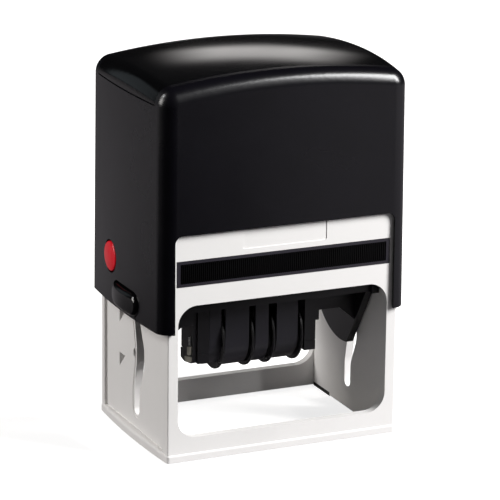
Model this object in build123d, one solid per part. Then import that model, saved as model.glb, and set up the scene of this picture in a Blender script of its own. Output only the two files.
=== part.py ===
from build123d import *
import math
import os

# Self-inking date stamp. Millimetres, +Z up, the front faces -Y, +X is to the viewer's right.
# The origin is at the bottom centre of the base, and the stamp stands at rest, cover up.

# Frame: the white body that stands on the paper
frame_half_width = 39.25
frame_half_depth = 27.6
frame_height = 76.0
end_wall = 2.8
side_wall = 2.8
side_recess = 0.65
groove_width = 1.0
groove_depth = 1.3
sill_height = 0.5
sill_depth = 0.4
front_lip = 4.4
back_lip = 2.5
frame_corner = 0.45
flange_top = 2.9
flange_side_reach = 0.15
flange_end_reach = 0.35
flange_bow = 1.2
flange_corner = 0.9
flange_round = 0.8
foot_proud = 0.3
foot_height = 1.3
foot_width = 2.6
foot_length = 12.3
window_bottom = 7.8
window_top_above_pivot = 4.65
window_corner = 6.3
badge_half_width = 14.3
badge_below_top = 1.8
badge_height = 7.2
badge_depth = 0.2
badge_corner = 0.7

# Motion: where the die turns, and how far over the paper it stops
pivot_y = -1.3
pivot_below_top = 30.0
print_gap = 0.3
pin_radius = 0.85
running_fit = 0.05

# Side slots that the axle pins slide in, and the holes of the lock
slot_clearance = 0.1
slot_before_pin = 0.55
slot_width = 4.15
slot_run_out = 2.4
slot_bulge = 3.95
slot_bulge_start = 6.6
slot_bulge_share = 0.69
slot_bulge_crest = 6.0
slot_bend = 7.0
slot_eye_height = 2.9
slot_eye_width = 1.7
slot_eye_behind_pivot = 2.4
slot_eye_below_pivot = 18.2
slot_rim = 1.0
slot_rim_depth = 0.2
lock_rear_y = 13.6
lock_top_above_pivot = 12.4
lock_length = 4.8
lock_height = 4.7
lock_middle_share = 0.565
lock_pocket_depth = 1.1
lock_nose_gap = 0.35

# Cover: the black outer shell
cover_gap = 0.3
cover_side_wall = 2.15
cover_end_wall = 1.2
cover_top_wall = 2.4
cover_bow = 1.5
cover_bottom_below_pivot = 3.7
cover_above_frame = 47.5
cover_crown = 2.1
cover_draft = 0.4
arch_radius = 252.0
cover_end_round = 5.6
cover_front_round = 5.0
cover_back_round = 2.3
cavity_corner = 1.2
cavity_end_round = 4.0
cover_window_margin = 1.1
cover_window_above_slot = 8.35
cover_window_corner = 2.5

# Glossy saddle let into the top of the cover
saddle_thickness = 0.8
saddle_front_y = -22.5
saddle_back_y = 23.4
saddle_drop = 9.5
saddle_seam = 0.15
saddle_side_seam = 0.5

# Glossy caps over the axle, in the lower edge of the cover's sides
boss_width = 20.4
boss_height = 7.3
boss_corner = 3.6
boss_round = 1.7
boss_bow = 1.2
boss_proud = 1.8
boss_before_pivot = 0.9
boss_above_pivot = 0.95
boss_side_gap = 0.25
boss_top_gap = 0.7
boss_flange = 0.9
boss_flange_thickness = 1.0
boss_hub_radius = 2.6
boss_slit = 0.45

# Red lock buttons
button_radius = 4.85
button_ring = 0.5
button_y = 10.9
button_above_pivot = 11.5
button_proud = 0.55
button_bow = 0.45
button_edge = 0.6
button_collar = 0.9
button_collar_thickness = 0.5
button_panel_gap = 0.3

# Ink pad cassette
pad_slot_below_top = 10.75
pad_slot_height = 8.4
pad_gap = 0.15
bezel_past_inside = 0.5
rib_pitch = 0.67
rib_width = 0.34
rib_height = 0.35
bezel_rim = 0.9
bezel_end_rim = 1.2
rib_below_rim = 0.12
tray_gap = 0.4
tray_back_gap = 1.3
tray_wall = 1.6
tray_depth = 4.3
rail_height = 1.6
rail_depth = 0.7
rail_below_slot_top = 1.65
foam_proud = 0.4
foam_gap = 0.3

# Spring deck and return springs
deck_above_slot = 1.35
deck_thickness = 2.4
deck_gap = 0.4
deck_tab_half_width = 9.0
deck_tab = 1.8
spring_from_wall = 7.8
spring_wire = 0.8
spring_radius = 4.9
spring_turns = 10
spigot_gap = 0.7
spigot_height = 4.0
spring_seat_radius = 6.5
spring_seat_drop = 1.7

# Die unit, measured from the pivot: b runs back, h runs up
holder_into_cheek = 0.2
holder_half_depth = 20.0
holder_bottom_h = 0.2
holder_height = 7.2
cheek_gap = 0.6
cheek_thickness = 2.4
cheek_radius = 21.8
cheek_above_holder = 0.5
cheek_cut_low = (-4.0, -21.5)
cheek_cut_high = (-17.7, 0.0)
plate_thickness = 2.5
plate_end_step = 0.6
rubber_end_gap = 2.0
rubber_half_depth = 18.5
rubber_thickness = 1.1
print_relief = 0.7
print_line = 0.8
date_window_gap = 0.5

# Date unit below the holder
wheel_drop = 14.9
axle_radius = 1.5
wheel_radius = 10.6
wheel_thickness = 0.8
tooth_depth = 0.35
tooth_count = 90
band_thickness = 0.8
band_radius = 9.5
thin_band_radius = 8.6
hub_gap = 0.1
band_knee_h = -1.0
nose_half_depth = 3.0
nose_round = 1.6
nose_above_wheel = 0.7
band_spans = [(-17.6, -13.5), (-12.4, -4.3), (-2.0, 2.5), (5.4, 12.7)]
wheel_starts = [-13.5, -3.4, 3.85, 13.6]
bracket_end_gap = 0.5
right_bracket_gap = 0.8
bracket_thickness = 3.8
bracket_below_axle = 5.6
bracket_foot_back = 2.0
bracket_knee_above_axle = 6.4
bracket_split = 0.3
bracket_split_above_foot = 3.1
bracket_strip = 1.4

# The foot of the left bracket's outer strip: b, and height over the axle
strip_foot = [
    (-8.85, -5.0),
    (-7.2, -5.9),
    (-1.8, -6.7),
    (1.1, -6.0),
    (1.2, -2.8),
    (-0.9, -2.75),
    (-0.9, -2.35),
    (0.65, -2.3),
]

# Beams that join the brackets to the cheeks
beam_height = 7.7
beam_depth = 1.6
beam_heel_width = 1.2
beam_heel_height = 3.2
gusset_width = 5.5
gusset_height = 4.6

# Places worked out from the sizes above
inner_half_width = frame_half_width - side_recess - side_wall
inner_half_depth = frame_half_depth - end_wall
panel_x = frame_half_width - side_recess
pivot_z = frame_height - pivot_below_top
window_top = pivot_z + window_top_above_pivot
slot_front = pivot_y - pin_radius - slot_before_pin
slot_rear = slot_front + slot_width
pad_slot_top = frame_height - pad_slot_below_top
pad_slot_bottom = pad_slot_top - pad_slot_height
badge_top = frame_height - badge_below_top
badge_bottom = badge_top - badge_height
slot_half_width = inner_half_width + bezel_past_inside + pad_gap
rail_top = pad_slot_top - rail_below_slot_top
deck_bottom = pad_slot_top + deck_above_slot
deck_top = deck_bottom + deck_thickness
cavity_half_width = frame_half_width + cover_gap
cavity_half_depth = frame_half_depth + cover_gap
cover_half_width = cavity_half_width + cover_side_wall
cover_half_depth = cavity_half_depth + cover_end_wall
cover_bottom = pivot_z - cover_bottom_below_pivot
cover_crest = frame_height + cover_above_frame
cover_window_top = pad_slot_top + cover_window_above_slot
cover_window_half_width = inner_half_width + bezel_past_inside + cover_window_margin
arch_centre_z = cover_crest - arch_radius
crown_radius = (cover_half_depth**2 + cover_crown**2) / (2 * cover_crown)
saddle_bottom = cover_crest - saddle_drop
boss_y = pivot_y - boss_before_pivot
boss_z = pivot_z + boss_above_pivot
button_z = pivot_z + button_above_pivot
lock_top_z = pivot_z + lock_top_above_pivot
cheek_outer_x = inner_half_width - cheek_gap
cheek_inner_x = cheek_outer_x - cheek_thickness
holder_half_width = cheek_inner_x + holder_into_cheek
rubber_half_width = holder_half_width - rubber_end_gap
holder_top_h = holder_bottom_h + holder_height
plate_top_h = holder_top_h + plate_thickness
rubber_top_h = plate_top_h + rubber_thickness
print_h = rubber_top_h + print_relief
stroke = pivot_z - print_h - print_gap
left_bracket_x = band_spans[0][0] - bracket_end_gap
right_bracket_x = wheel_starts[-1] + wheel_thickness + right_bracket_gap
spring_x = inner_half_width - spring_from_wall
spring_seat_z = arch_centre_z - spring_seat_drop + math.sqrt(
    (arch_radius - cover_top_wall) ** 2 - spring_x**2
)


def bow_at(bow, half_depth, y):
    """How far a side bowed by bow stands out at y."""
    radius = (half_depth**2 + bow**2) / (2 * bow)
    return bow - radius + math.sqrt(radius**2 - y**2)


def bowed_outline(half_width, half_depth, bow):
    """A rectangle whose two sides bow outwards."""
    return make_face(
        [
            Line((-half_width, -half_depth), (half_width, -half_depth)),
            ThreePointArc((half_width, -half_depth), (half_width + bow, 0), (half_width, half_depth)),
            Line((half_width, half_depth), (-half_width, half_depth)),
            ThreePointArc((-half_width, half_depth), (-half_width - bow, 0), (-half_width, -half_depth)),
        ]
    )


def block(x0, x1, y0, y1, z0, z1):
    """A box between two corners."""
    return Pos((x0 + x1) / 2, (y0 + y1) / 2, (z0 + z1) / 2) * Box(x1 - x0, y1 - y0, z1 - z0)


def side_prism(outline, near, far):
    """An outline in y and z, carried along X from near to far."""
    return Pos(near, 0, 0) * extrude(Plane.YZ * outline, amount=far - near)


def front_prism(outline, near, far):
    """An outline in x and z, carried along Y from near to far."""
    return Pos(0, far, 0) * extrude(Plane.XZ * outline, amount=far - near)


def both_sides(piece):
    """A piece on the right, and its mirror image on the left."""
    return piece + mirror(piece, about=Plane.YZ)


def polygon(points):
    """A closed outline with straight sides."""
    return make_face(Polyline(*points, close=True))


def rectangle_between(x0, x1, z0, z1, corner):
    """A rounded rectangle between two corners."""
    return Pos((x0 + x1) / 2, (z0 + z1) / 2) * RectangleRounded(x1 - x0, z1 - z0, corner)


def dome(width, bow, x, y, z):
    """A ball whose right side rises by bow over a width, up to x."""
    radius = (width**2 / 4 + bow**2) / (2 * bow)
    return Pos(x - radius, y, z) * Rot(0, 0, 180) * Sphere(radius)


def x_rod(radius, x0, x1, y, z):
    """A round rod along X."""
    return Pos((x0 + x1) / 2, y, z) * Rot(0, 90, 0) * Cylinder(radius, x1 - x0)


def z_rod(radius, x, y, z0, z1):
    """A round rod along Z."""
    return Pos(x, y, (z0 + z1) / 2) * Cylinder(radius, z1 - z0)


def under_arch(depth, reach, low):
    """All that lies down to low under a dome which is the cover's, let in by depth."""
    radius = arch_radius - depth
    shoulder = arch_centre_z + math.sqrt(radius**2 - reach**2)
    crest = arch_centre_z + radius
    face = make_face(
        [
            Line((-reach, low), (reach, low)),
            Line((reach, low), (reach, shoulder)),
            ThreePointArc((reach, shoulder), (0, crest), (-reach, shoulder)),
            Line((-reach, shoulder), (-reach, low)),
        ]
    )
    crown_axis = Axis((0, 0, cover_crest - crown_radius), (1, 0, 0))
    return revolve(Plane.XZ * face, axis=crown_axis)


def top_end_edges(solid, half_width):
    """The edges where a domed top meets the sides."""
    low = cover_crest - 3 * cover_end_round
    near = [e for e in solid.edges() if e.center().Z > low]
    between = [e for e in near if abs(e.center().Y) < cavity_half_depth - cover_end_round]
    return [e for e in between if abs(e.center().X) > half_width - 1]


# Frame


def slot_outline():
    """The axle slot: straight at both ends, with a bulge forward in the middle."""
    radius = slot_width / 2
    low = pivot_z - stroke - slot_run_out
    bulge_low = low + slot_bulge_start
    bulge_high = bulge_low + slot_bulge_share * stroke
    middle = (bulge_low + bulge_high) / 2
    crest_low = middle - slot_bulge_crest / 2
    crest_high = middle + slot_bulge_crest / 2
    crest_front = slot_front - slot_bulge
    crest_rear = pivot_y + pin_radius + slot_clearance
    centre = (slot_front + slot_rear) / 2
    rear = FilletPolyline(
        (slot_rear, low),
        (slot_rear, bulge_low),
        (crest_rear, crest_low),
        (crest_rear, crest_high),
        (slot_rear, bulge_high),
        (slot_rear, pivot_z),
        radius=slot_bend,
    )
    front = FilletPolyline(
        (slot_front, pivot_z),
        (slot_front, bulge_high),
        (crest_front, crest_high),
        (crest_front, crest_low),
        (slot_front, bulge_low),
        (slot_front, low),
        radius=slot_bend,
    )
    top = ThreePointArc((slot_rear, pivot_z), (centre, pivot_z + radius), (slot_front, pivot_z))
    bottom = ThreePointArc((slot_front, low), (centre, low - radius), (slot_rear, low))
    return make_face([*rear.edges(), top, *front.edges(), bottom])


def lock_outline(top):
    """A right triangle with its tip forward, under a level top edge."""
    tip = (lock_rear_y - lock_length, top)
    return polygon([(lock_rear_y, top), (lock_rear_y, top - lock_height), tip])


def foot_blocks():
    """Four strips let into the base beside its opening, at rest height."""
    front = inner_half_depth - foot_length
    strips = Part()
    for y0, y1 in ((front, inner_half_depth), (-inner_half_depth, -front)):
        strips += block(inner_half_width, inner_half_width + foot_width, y0, y1, 0, foot_height)
    return both_sides(strips)


def make_frame():
    """The white body: a tall open box with a flange, two windows and slotted sides."""
    flange_outline = bowed_outline(
        frame_half_width + flange_side_reach, frame_half_depth + flange_end_reach, flange_bow
    )
    flange = extrude(Pos(0, 0, foot_proud) * flange_outline, amount=flange_top - foot_proud)
    flange = fillet(flange.edges().filter_by(Axis.Z), flange_corner)
    flange = fillet(flange.faces().sort_by(Axis.Z)[-1].edges(), flange_round)
    shell = block(
        -frame_half_width, frame_half_width, -frame_half_depth, frame_half_depth, foot_proud, frame_height
    )
    shell = fillet(shell.edges().filter_by(Axis.Z), frame_corner)
    beside = block(
        panel_x,
        2 * frame_half_width,
        -frame_half_depth + front_lip,
        frame_half_depth - back_lip,
        flange_top,
        2 * frame_height,
    )
    body = flange + (shell - both_sides(beside))
    body -= block(
        -inner_half_width, inner_half_width, -inner_half_depth, inner_half_depth, -1, 2 * frame_height
    )
    window = rectangle_between(
        -inner_half_width, inner_half_width, window_bottom, window_top, window_corner
    )
    body -= front_prism(window, -2 * frame_half_depth, 2 * frame_half_depth)
    body -= block(
        -slot_half_width,
        slot_half_width,
        -2 * frame_half_depth,
        -inner_half_depth,
        pad_slot_bottom,
        pad_slot_top,
    )
    badge = rectangle_between(
        -badge_half_width, badge_half_width, badge_bottom, badge_top, badge_corner
    )
    body -= front_prism(badge, -2 * frame_half_depth, -frame_half_depth + badge_depth)
    rail = block(
        inner_half_width - 1,
        inner_half_width + rail_depth,
        -inner_half_depth,
        inner_half_depth - tray_back_gap / 2,
        rail_top - rail_height,
        rail_top,
    )
    groove_back = frame_half_depth - back_lip
    groove = block(
        panel_x - groove_depth,
        frame_half_width + 1,
        groove_back - groove_width,
        groove_back,
        flange_top,
        frame_height + 1,
    )
    sill = block(
        panel_x - sill_depth,
        frame_half_width + 1,
        -frame_half_depth + front_lip,
        groove_back,
        flange_top,
        flange_top + sill_height,
    )
    rim = side_prism(offset(slot_outline(), slot_rim), panel_x - slot_rim_depth, frame_half_width + 1)
    cuts = both_sides(rail + groove + sill + rim)
    eye = Pos(pivot_y + slot_eye_behind_pivot, pivot_z - slot_eye_below_pivot) * Ellipse(
        slot_eye_width / 2, slot_eye_height / 2
    )
    for hole in (slot_outline(), eye, lock_outline(lock_top_z)):
        cuts += both_sides(side_prism(hole, inner_half_width - 1, frame_half_width + 1))
    for share in (lock_middle_share, 1):
        hole = lock_outline(lock_top_z - share * stroke)
        cuts += side_prism(hole, -frame_half_width - 1, -inner_half_width + 1)
        cuts += side_prism(hole, panel_x - lock_pocket_depth, frame_half_width + 1)
    body -= cuts
    tab_depth = inner_half_depth + deck_tab
    pocket_half = deck_tab_half_width + deck_gap
    body -= block(-pocket_half, pocket_half, -tab_depth, tab_depth, deck_bottom, deck_top + deck_gap)
    return body - foot_blocks()


# Cover and what it carries


def cover_blank(half_width, half_depth, depth, end_round):
    """The cover's outside as a full solid, before its front and back edges are rounded."""
    outline = Pos(0, 0, cover_bottom) * bowed_outline(half_width, half_depth, cover_bow)
    blank = extrude(outline, amount=cover_crest - cover_bottom, taper=cover_draft)
    blank = blank & under_arch(depth, half_width + 2 * cover_bow, cover_bottom)
    return fillet(top_end_edges(blank, half_width - 1), end_round)


def round_front_and_back(solid, half_depth, front_round, back_round):
    """Rounds the edges of the front and back faces, with the bottom edges left square."""
    for side, radius in ((-1, front_round), (1, back_round)):
        near = [e for e in solid.edges() if side * e.center().Y > half_depth - 1.5]
        solid = fillet([e for e in near if e.center().Z > cover_bottom + 1], radius)
    return solid


def cover_outside():
    """The blank with its front and back edges rounded."""
    blank = cover_blank(cover_half_width, cover_half_depth, 0, cover_end_round)
    return round_front_and_back(blank, cover_half_depth, cover_front_round, cover_back_round)


def cover_cavity():
    """The hollow inside the cover."""
    outline = Pos(0, 0, cover_bottom - 1) * bowed_outline(
        cavity_half_width, cavity_half_depth, cover_bow
    )
    hollow = extrude(outline, amount=cover_crest - cover_bottom)
    reach = cavity_half_width + 2 * cover_bow
    hollow = hollow & under_arch(cover_top_wall, reach, cover_bottom - 1)
    hollow = fillet(top_end_edges(hollow, cavity_half_width - 1), cavity_end_round)
    return round_front_and_back(hollow, cavity_half_depth, cavity_corner, cavity_corner)


def saddle_space(gap, side_gap):
    """The space over the top that the saddle takes, with a gap at its edges and under its sides."""
    outer = cover_half_width + 2 * cover_bow
    space = block(
        -outer, outer, saddle_front_y - gap, saddle_back_y + gap, saddle_bottom - side_gap, cover_crest + 1
    )
    core = cover_blank(
        cover_half_width - saddle_thickness,
        cover_half_depth,
        saddle_thickness,
        cover_end_round - saddle_thickness,
    )
    return space - core


def boss_outline(side_gap, top_gap):
    """The rounded outline of the axle cap in y and z, grown by a gap."""
    half = boss_width / 2 + side_gap
    low = boss_z - boss_height / 2 - side_gap
    high = boss_z + boss_height / 2 + top_gap
    return rectangle_between(boss_y - half, boss_y + half, low, high, boss_corner + side_gap)


def button_hole():
    """The hole in the cover's side that the lock button stands in."""
    return x_rod(button_radius + button_ring, panel_x, 2 * cover_half_width, button_y, button_z)


def make_cover():
    """The shell with its front window, its openings for the button and the cap, and spring seats."""
    shell = cover_outside() - cover_cavity()
    window = rectangle_between(
        -cover_window_half_width,
        cover_window_half_width,
        cover_bottom - 2 * cover_window_corner,
        cover_window_top,
        cover_window_corner,
    )
    shell -= front_prism(window, -2 * cover_half_depth, -frame_half_depth)
    opening = side_prism(boss_outline(boss_side_gap, boss_top_gap), panel_x, 2 * cover_half_width)
    slit_y = boss_y - boss_width / 2 + boss_corner / 2
    slit = block(panel_x, 2 * cover_half_width, slit_y, slit_y + boss_slit, cover_bottom - 1, boss_z)
    shell -= both_sides(opening + slit + button_hole())
    seat = z_rod(spring_seat_radius, spring_x, 0, spring_seat_z, spring_seat_z + cover_top_wall + 1)
    spigot = z_rod(
        spring_radius - spring_wire / 2 - spigot_gap,
        spring_x,
        0,
        spring_seat_z - spigot_height,
        spring_seat_z + 1,
    )
    return shell + both_sides(seat + spigot) - saddle_space(saddle_seam, saddle_side_seam)


def make_top_cap():
    """The thin glossy saddle over the top of the cover."""
    return cover_outside() & saddle_space(0, 0)


def boss_face_x():
    """How far out the crown of the axle cap stands."""
    return cover_half_width + bow_at(cover_bow, cover_half_depth, boss_y) + boss_proud


def boss_flange_x():
    """The outer face of the cap's flange, just inside the cover's wall."""
    edge_y = abs(boss_y) + boss_width / 2 + boss_flange
    return cavity_half_width + bow_at(cover_bow, cavity_half_depth, edge_y) - slot_clearance


def make_axle_cap():
    """A pillow-shaped cap with a flange behind the wall and a hub that holds the axle pin."""
    pillow = side_prism(boss_outline(0, 0), boss_flange_x() - boss_flange_thickness, boss_face_x())
    pillow = pillow & dome(boss_width, boss_bow, boss_face_x(), boss_y, boss_z)
    pillow = fillet(pillow.faces().sort_by(Axis.X)[-1].edges(), boss_round)
    flange = side_prism(
        boss_outline(boss_flange, boss_flange + boss_top_gap),
        boss_flange_x() - boss_flange_thickness,
        boss_flange_x(),
    )
    hub = x_rod(boss_hub_radius, panel_x + cover_gap, boss_flange_x(), pivot_y, pivot_z)
    bore = x_rod(pin_radius, 0, boss_flange_x(), pivot_y, pivot_z)
    return pillow + flange + hub - bore


def make_axle_pin():
    """The steel stub that the die unit turns on, from the cheek to the cap."""
    return x_rod(pin_radius, cheek_inner_x, boss_flange_x(), pivot_y, pivot_z)


def make_lock_button():
    """A domed button with a collar behind the wall and a nose for the lock holes."""
    far_edge = abs(button_y) + button_radius + button_collar
    inner_x = cavity_half_width + bow_at(cover_bow, cavity_half_depth, far_edge)
    collar_outer = inner_x - slot_clearance
    collar_inner = collar_outer - button_collar_thickness
    face_x = cover_half_width + bow_at(cover_bow, cover_half_depth, button_y) + button_proud
    head = x_rod(button_radius, collar_inner, face_x, button_y, button_z)
    head = head & dome(2 * button_radius, button_bow, face_x, button_y, button_z)
    head = fillet(head.faces().sort_by(Axis.X)[-1].edges(), button_edge)
    collar = x_rod(button_radius + button_collar, collar_inner, collar_outer, button_y, button_z)
    nose_outline = offset(lock_outline(lock_top_z), amount=-lock_nose_gap, kind=Kind.INTERSECTION)
    nose = side_prism(nose_outline, panel_x + button_panel_gap, collar_outer)
    return head + collar + nose


# Ink pad


def make_pad_cassette():
    """A ribbed bezel in front, and behind it a tray that opens downwards, on two tongues."""
    half = slot_half_width - pad_gap
    low = pad_slot_bottom + pad_gap
    high = pad_slot_top - pad_gap
    bezel_back = -inner_half_depth - slot_clearance
    bezel = block(-half, half, -frame_half_depth, bezel_back, low, high)
    field_half = half - bezel_end_rim
    count = int(2 * field_half / rib_pitch)
    first = -(count - 1) * rib_pitch / 2
    crest = -frame_half_depth + rib_below_rim
    floor = crest + rib_height
    outline = [(-field_half, -2 * frame_half_depth), (-field_half, floor)]
    for n in range(count):
        middle = first + n * rib_pitch
        outline += [(middle - rib_width / 2, floor), (middle - rib_width / 2, crest)]
        outline += [(middle + rib_width / 2, crest), (middle + rib_width / 2, floor)]
    outline += [(field_half, floor), (field_half, -2 * frame_half_depth)]
    field = Pos(0, 0, low + bezel_rim) * polygon(outline)
    bezel -= extrude(field, amount=high - low - 2 * bezel_rim)
    tray_half = inner_half_width - tray_gap
    tray_back = inner_half_depth - tray_back_gap
    tray = block(-tray_half, tray_half, bezel_back, tray_back, high - tray_depth, high)
    tray -= block(
        -tray_half + tray_wall,
        tray_half - tray_wall,
        bezel_back + tray_wall,
        tray_back - tray_wall,
        high - 2 * tray_depth,
        high - tray_wall,
    )
    tongue = block(
        tray_half - tray_wall / 2,
        inner_half_width + rail_depth - pad_gap,
        bezel_back,
        tray_back - tray_wall,
        rail_top - rail_height + pad_gap,
        rail_top - pad_gap,
    )
    return bezel + tray + both_sides(tongue)


def make_ink_pad():
    """The foam that lies in the tray and stands a little proud of its rim."""
    half = inner_half_width - tray_gap - tray_wall - foam_gap
    top = pad_slot_top - pad_gap - tray_wall
    low = pad_slot_top - pad_gap - tray_depth - foam_proud
    front = -inner_half_depth - slot_clearance + tray_wall + foam_gap
    back = inner_half_depth - tray_back_gap - tray_wall - foam_gap
    return block(-half, half, front, back, low, top)


# Springs


def make_spring_deck():
    """The plate across the frame's top, clipped into its end walls, with two spigots."""
    half_width = inner_half_width - deck_gap
    half_depth = inner_half_depth - deck_gap
    deck = block(-half_width, half_width, -half_depth, half_depth, deck_bottom, deck_top)
    tab_depth = inner_half_depth + deck_tab - deck_gap
    deck += block(
        -deck_tab_half_width, deck_tab_half_width, -tab_depth, tab_depth, deck_bottom, deck_top
    )
    spigot_radius = spring_radius - spring_wire / 2 - spigot_gap
    return deck + both_sides(z_rod(spigot_radius, spring_x, 0, deck_top - 1, deck_top + spigot_height))


def biarc(start, end, start_tangent, end_tangent):
    """Two arcs that join two points and meet the tangent at each."""
    span = end - start
    both = start_tangent + end_tangent
    spread = 2 * (1 - start_tangent.dot(end_tangent))
    along = span.dot(both)
    reach = (-along + math.sqrt(along**2 + spread * span.dot(span))) / spread
    joint = (start + end + (start_tangent - end_tangent) * reach) * 0.5
    first = TangentArc(start, joint, tangent=start_tangent)
    return [first, TangentArc(joint, end, tangent=first % 1)]


def make_return_spring():
    """A compression spring of round wire between the deck and the cover's seat."""
    low = deck_top + spring_wire / 2
    high = spring_seat_z - spring_wire / 2
    rise = (high - low) / spring_turns
    steps = 4 * spring_turns
    slope = math.atan2(rise, 2 * math.pi * spring_radius)
    points = []
    tangents = []
    for n in range(steps + 1):
        angle = n * math.pi / 2
        x = spring_x + spring_radius * math.cos(angle)
        y = spring_radius * math.sin(angle)
        points.append(Vector(x, y, low + rise * n / 4))
        flat = math.cos(slope)
        tangents.append(Vector(-math.sin(angle) * flat, math.cos(angle) * flat, math.sin(slope)))
    edges = []
    for n in range(steps):
        edges += biarc(points[n], points[n + 1], tangents[n], tangents[n + 1])
    print(f"return spring: least gap between turns {rise * math.cos(slope) - spring_wire:.2f} mm")
    section = Plane(origin=points[0], z_dir=tangents[0]) * Circle(spring_wire / 2)
    return sweep(section, path=Wire(edges))


# Die unit


def unit_prism(points, x0, x1):
    """A straight-sided outline in b and h, carried along X."""
    outline = Pos(pivot_y, pivot_z) * polygon(points)
    return side_prism(outline, x0, x1)


def date_opening(x_gap, half_depth, h0, h1):
    """The space round the date bands between two heights of the die unit."""
    return block(
        left_bracket_x - x_gap,
        right_bracket_x + x_gap,
        pivot_y - half_depth,
        pivot_y + half_depth,
        pivot_z + h0,
        pivot_z + h1,
    )


def band_half_depth(h):
    """How far the slanted part of a date band stands from the middle at a height."""
    share = (print_h - h) / (print_h - band_knee_h)
    return nose_half_depth + share * (band_radius - nose_half_depth)


def make_beam(start, heel):
    """The plate that joins a bracket to its cheek, with a gusset at the cheek."""
    top = pivot_z + holder_bottom_h
    low = top - beam_height
    points = [(start, top), (start, low - heel)]
    if heel:
        points += [(start + beam_heel_width, low - heel), (start + beam_heel_width, low)]
    points += [
        (cheek_inner_x - gusset_width, low),
        (cheek_inner_x, low - gusset_height),
        (cheek_inner_x, top),
    ]
    front_y = pivot_y - band_radius
    return front_prism(polygon(points), front_y, front_y + beam_depth)


def make_die_holder():
    """The tray that carries the text plate, with a round cheek at each end."""
    tray = block(
        -holder_half_width,
        holder_half_width,
        pivot_y - holder_half_depth,
        pivot_y + holder_half_depth,
        pivot_z + holder_bottom_h,
        pivot_z + holder_top_h,
    )
    tray -= date_opening(
        date_window_gap, band_radius + date_window_gap, holder_bottom_h - 1, holder_top_h + 1
    )
    disc = x_rod(cheek_radius, cheek_inner_x, cheek_outer_x, pivot_y, pivot_z)
    top = pivot_z + holder_top_h + cheek_above_holder
    disc -= block(
        0, 2 * cheek_outer_x, -3 * cheek_radius, 3 * cheek_radius, top, top + 2 * cheek_radius
    )
    low_b, low_h = cheek_cut_low
    cut = [
        cheek_cut_low,
        cheek_cut_high,
        (-2 * cheek_radius, cheek_cut_high[1]),
        (-2 * cheek_radius, -2 * cheek_radius),
        (low_b, low_h - cheek_radius),
    ]
    disc -= unit_prism(cut, cheek_inner_x - 1, cheek_outer_x + 1)
    neck = block(
        holder_half_width - 1,
        cheek_inner_x + 1,
        pivot_y - holder_half_depth + 1,
        pivot_y + holder_half_depth - 1,
        pivot_z + holder_bottom_h + 1,
        pivot_z + holder_top_h,
    )
    bore = x_rod(pin_radius + running_fit, cheek_inner_x - 1, cheek_outer_x + 1, pivot_y, pivot_z)
    beams = make_beam(right_bracket_x + bracket_thickness, beam_heel_height)
    beams += mirror(make_beam(-strip_outer_x(), 0), about=Plane.YZ)
    return tray + both_sides(disc + neck) + beams - both_sides(bore)


def make_text_plate():
    """The plate under the printing rubber."""
    half = holder_half_width - plate_end_step
    plate = block(
        -half,
        half,
        pivot_y - holder_half_depth,
        pivot_y + holder_half_depth,
        pivot_z + holder_top_h,
        pivot_z + plate_top_h,
    )
    gap_depth = band_half_depth(holder_top_h) + date_window_gap
    return plate - date_opening(date_window_gap, gap_depth, holder_top_h - 1, plate_top_h + 1)


def rubber_ring(half_width, half_depth, line, h0, h1):
    """A rectangular line of print, in relief on the rubber."""
    ring = block(
        -half_width, half_width, pivot_y - half_depth, pivot_y + half_depth, pivot_z + h0, pivot_z + h1
    )
    inner_width = half_width - line
    inner_depth = half_depth - line
    return ring - block(
        -inner_width,
        inner_width,
        pivot_y - inner_depth,
        pivot_y + inner_depth,
        pivot_z + h0 - 1,
        pivot_z + h1 + 1,
    )


def make_text_rubber():
    """The printing rubber: a sheet with a border in relief and a window for the date."""
    sheet = block(
        -rubber_half_width,
        rubber_half_width,
        pivot_y - rubber_half_depth,
        pivot_y + rubber_half_depth,
        pivot_z + plate_top_h,
        pivot_z + rubber_top_h,
    )
    border = rubber_ring(
        rubber_half_width - print_line,
        rubber_half_depth - print_line,
        print_line,
        rubber_top_h - rubber_thickness / 2,
        print_h,
    )
    gap_depth = band_half_depth(plate_top_h) + date_window_gap
    return sheet + border - date_opening(date_window_gap, gap_depth, plate_top_h - 1, print_h + 1)


# Date unit


def band_outline(radius):
    """The outside of a date band: round the wheel below, over the nose on top."""
    centre = -wheel_drop
    sides = FilletPolyline(
        (radius, centre),
        (radius, band_knee_h),
        (nose_half_depth, print_h),
        (-nose_half_depth, print_h),
        (-radius, band_knee_h),
        (-radius, centre),
        radius=nose_round,
    )
    bottom = ThreePointArc((-radius, centre), (0, centre - radius), (radius, centre))
    return Pos(pivot_y, pivot_z) * make_face([*sides.edges(), bottom])


def make_date_band(n):
    """One rubber band of figures, as a closed loop."""
    outer = band_outline(band_radii[n])
    inner = offset(outer, amount=-band_thickness)
    return side_prism(outer - inner, *band_spans[n])


def make_band_nose():
    """The guide that the bands run over, up to the printing face."""
    axle_z = pivot_z - wheel_drop
    above = block(
        left_bracket_x - 1,
        right_bracket_x + 1,
        -2 * holder_half_depth,
        2 * holder_half_depth,
        axle_z + wheel_radius + nose_above_wheel,
        pivot_z + print_h,
    )
    inner = {radius: offset(band_outline(radius), amount=-band_thickness) for radius in set(band_radii)}
    nose = side_prism(inner[thin_band_radius], left_bracket_x, right_bracket_x)
    for n in range(1, len(band_spans)):
        nose += side_prism(inner[band_radii[n]], *band_spans[n])
    return nose & above


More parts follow.
